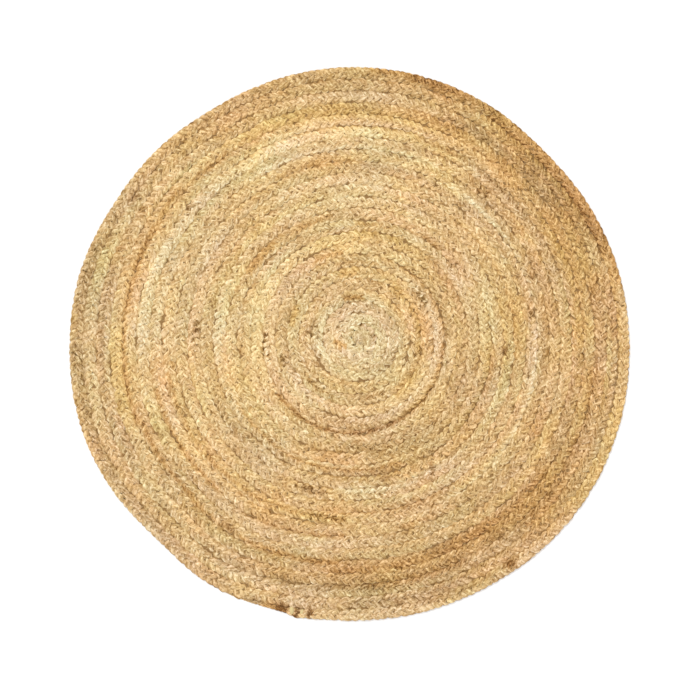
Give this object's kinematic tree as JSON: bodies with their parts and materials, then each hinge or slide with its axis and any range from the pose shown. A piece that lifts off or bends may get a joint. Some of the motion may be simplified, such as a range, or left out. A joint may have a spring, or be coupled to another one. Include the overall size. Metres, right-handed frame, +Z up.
{
  "type": "round braided jute rug",
  "caption": "Round flat rug of one thick three-strand jute braid, wound from the middle outwards and sewn side to side, with the braid's end tapered into the rim.",
  "frame": {"origin": "under the middle of the rug's box, on the floor plane", "axes": "+Z up through the rug's thickness, +Y towards the top of the rug as seen from above, +X to the right"},
  "size_m": [1.2092, 1.1958, 0.01],
  "materials": {
    "jute": "natural undyed jute yarn in straw, honey and light brown, matt, with fine loose fibres"
  },
  "bodies": {
    "root": {"braided_rug": "jute"}
  },
  "joints": []
}
